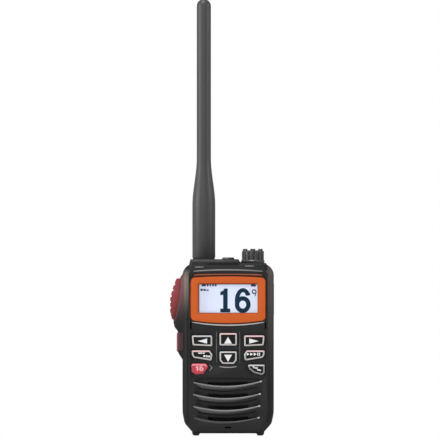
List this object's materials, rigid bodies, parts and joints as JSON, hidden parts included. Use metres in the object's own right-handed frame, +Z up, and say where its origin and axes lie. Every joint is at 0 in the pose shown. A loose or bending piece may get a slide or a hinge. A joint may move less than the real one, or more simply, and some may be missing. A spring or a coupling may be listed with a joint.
{
  "type": "handheld vhf marine radio",
  "caption": "Handheld marine radio with screw-in antenna, ribbed talk key, framed display, keypad, louvred speaker grille, volume knob, slide-on battery and belt clip.",
  "frame": {"origin": "on the surface it stands on, at the middle of its width and depth", "axes": "+Z up along the antenna, -Y out of the display, +X to the display's right"},
  "size_m": [0.0528, 0.039, 0.2223],
  "materials": {
    "case_plastic": "black moulded plastic with a fine spark texture",
    "chassis_plastic": "black moulded plastic with a fine spark texture",
    "battery_plastic": "black moulded plastic with a fine spark texture",
    "inner_plastic": "plain black moulded plastic",
    "clip_plastic": "black moulded plastic, slightly worn along its edges",
    "latch_plastic": "black moulded plastic",
    "knob_plastic": "black moulded plastic with polished flute tips",
    "bezel_orange": "orange satin plastic",
    "window_glass": "clear moulded window",
    "lcd_glass": "pale blue lit display glass",
    "light_guide": "white light guide",
    "lens_black": "dark polished lens",
    "key_black": "black key with a pale printed ring and sign",
    "key_red": "red key with a pale printed ring and number",
    "talk_rubber": "crimson rubber with ribs",
    "side_rubber": "dark red rubber",
    "cover_rubber": "black rubber flap",
    "seal_rubber": "black silicone",
    "antenna_rubber": "dull black antenna sheath",
    "circuit_board": "green circuit board",
    "tin_plate": "tin plate",
    "magnet": "coated magnet",
    "speaker_fabric": "black cone and water-shedding cloth",
    "gold_brass": "gold-plated brass",
    "nickel_nut": "nickel-plated",
    "spring_steel": "spring steel",
    "cell_can": "wrapped lithium cells"
  },
  "bodies": {
    "root": {"front_case": "case_plastic", "rear_chassis": "chassis_plastic", "case_gasket": "seal_rubber", "display_bezel": "bezel_orange", "display_window": "window_glass", "lcd_panel": "lcd_glass", "backlight_plate": "light_guide", "lcd_frame": "inner_plastic", "keypad_mat": "seal_rubber", "key_domes": "spring_steel", "main_board": "circuit_board", "shield_can": "tin_plate", "side_switches": "inner_plastic", "accessory_jacks": "inner_plastic", "status_lens": "lens_black", "speaker_membrane": "speaker_fabric", "speaker_basket": "tin_plate", "speaker_magnet": "magnet", "speaker_cone": "speaker_fabric", "microphone": "tin_plate", "microphone_boot": "seal_rubber", "antenna_socket": "gold_brass", "antenna_socket_nut": "nickel_nut", "volume_control": "tin_plate", "volume_control_nut": "nickel_nut", "supply_springs": "gold_brass", "clip_bracket": "clip_plastic", "clip_pin": "nickel_nut", "clip_spring": "spring_steel", "clip_screws": "nickel_nut", "case_screws": "nickel_nut"},
    "antenna_lift": {"antenna_seal": "seal_rubber"},
    "antenna": {"antenna_sheath": "antenna_rubber", "antenna_element": "spring_steel", "antenna_connector": "gold_brass"},
    "knob": {"volume_knob": "knob_plastic", "knob_shaft": "nickel_nut"},
    "talk_key": {"ptt_button": "talk_rubber"},
    "lower_key": {"side_key": "side_rubber"},
    "jack_flap": {"jack_cover": "cover_rubber"},
    "battery": {"battery_case": "battery_plastic", "battery_cover": "inner_plastic", "battery_cells": "cell_can", "battery_contacts": "gold_brass", "charge_contacts": "gold_brass", "latch_leaf": "spring_steel"},
    "latch": {"battery_latch": "latch_plastic"},
    "clip": {"belt_clip": "clip_plastic"},
    "key_left_cap": {"key_left": "key_black"},
    "key_up_cap": {"key_up": "key_black"},
    "key_right_cap": {"key_right": "key_black"},
    "key_hold_cap": {"key_hold": "key_black"},
    "key_down_cap": {"key_down": "key_black"},
    "key_scan_cap": {"key_scan": "key_black"},
    "key_16_cap": {"key_16": "key_red"},
    "key_clear_cap": {"key_clear": "key_black"}
  },
  "joints": [
    {"name": "antenna_rise", "type": "slide", "parent": "root", "child": "antenna_lift", "axis": [0, 0, 1], "range_m": [0, 0.00423]},
    {"name": "antenna_turn", "type": "hinge", "parent": "antenna_lift", "child": "antenna", "pos_m": [-0.0093, 0.0025, 0.0895], "axis": [0, 0, 1], "range_deg": [0, 2160]},
    {"name": "knob_turn", "type": "hinge", "parent": "root", "child": "knob", "pos_m": [0.0157, 0.0025, 0.089], "axis": [0, 0, 1], "range_deg": [-280, 0]},
    {"name": "talk_press", "type": "slide", "parent": "root", "child": "talk_key", "axis": [1, 0, 0], "range_m": [0, 0.0008], "stiffness_N_per_m": 2500, "springref_m": -0.0006},
    {"name": "lower_key_press", "type": "slide", "parent": "root", "child": "lower_key", "axis": [1, 0, 0], "range_m": [0, 0.0005], "stiffness_N_per_m": 2500, "springref_m": -0.0005},
    {"name": "battery_slide", "type": "slide", "parent": "root", "child": "battery", "axis": [0, 0, -1], "range_m": [0, 0.012], "deforming": ["latch_leaf"]},
    {"name": "latch_slide", "type": "slide", "parent": "battery", "child": "latch", "axis": [0, 0, -1], "range_m": [0, 0.0015], "stiffness_N_per_m": 900, "springref_m": -0.001},
    {"name": "clip_open", "type": "hinge", "parent": "root", "child": "clip", "pos_m": [0.0031, 0.0147, 0.08], "axis": [1, 0, 0], "range_deg": [0, 20], "stiffness_Nm_per_rad": 0.35, "springref_deg": -14.32},
    {"name": "jack_flap_open", "type": "hinge", "parent": "root", "child": "jack_flap", "pos_m": [0.02585, -0.0114, 0.077], "axis": [0, -1, 0], "range_deg": [0, 85]},
    {"name": "key_left_press", "type": "slide", "parent": "root", "child": "key_left_cap", "axis": [0, 1, 0], "range_m": [0, 0.0004], "stiffness_N_per_m": 3000, "springref_m": -0.0004},
    {"name": "key_up_press", "type": "slide", "parent": "root", "child": "key_up_cap", "axis": [0, 1, 0], "range_m": [0, 0.0004], "stiffness_N_per_m": 3000, "springref_m": -0.0004},
    {"name": "key_right_press", "type": "slide", "parent": "root", "child": "key_right_cap", "axis": [0, 1, 0], "range_m": [0, 0.0004], "stiffness_N_per_m": 3000, "springref_m": -0.0004},
    {"name": "key_hold_press", "type": "slide", "parent": "root", "child": "key_hold_cap", "axis": [0, 1, 0], "range_m": [0, 0.0004], "stiffness_N_per_m": 3000, "springref_m": -0.0004},
    {"name": "key_down_press", "type": "slide", "parent": "root", "child": "key_down_cap", "axis": [0, 1, 0], "range_m": [0, 0.0004], "stiffness_N_per_m": 3000, "springref_m": -0.0004},
    {"name": "key_scan_press", "type": "slide", "parent": "root", "child": "key_scan_cap", "axis": [0, 1, 0], "range_m": [0, 0.0004], "stiffness_N_per_m": 3000, "springref_m": -0.0004},
    {"name": "key_16_press", "type": "slide", "parent": "root", "child": "key_16_cap", "axis": [0, 1, 0], "range_m": [0, 0.0004], "stiffness_N_per_m": 3000, "springref_m": -0.0004},
    {"name": "key_clear_press", "type": "slide", "parent": "root", "child": "key_clear_cap", "axis": [0, 1, 0], "range_m": [0, 0.0004], "stiffness_N_per_m": 3000, "springref_m": -0.0004}
  ],
  "couplings": [
    {"joint": "antenna_turn", "follows": "antenna_rise", "rad_per_m": 8904.8}
  ]
}
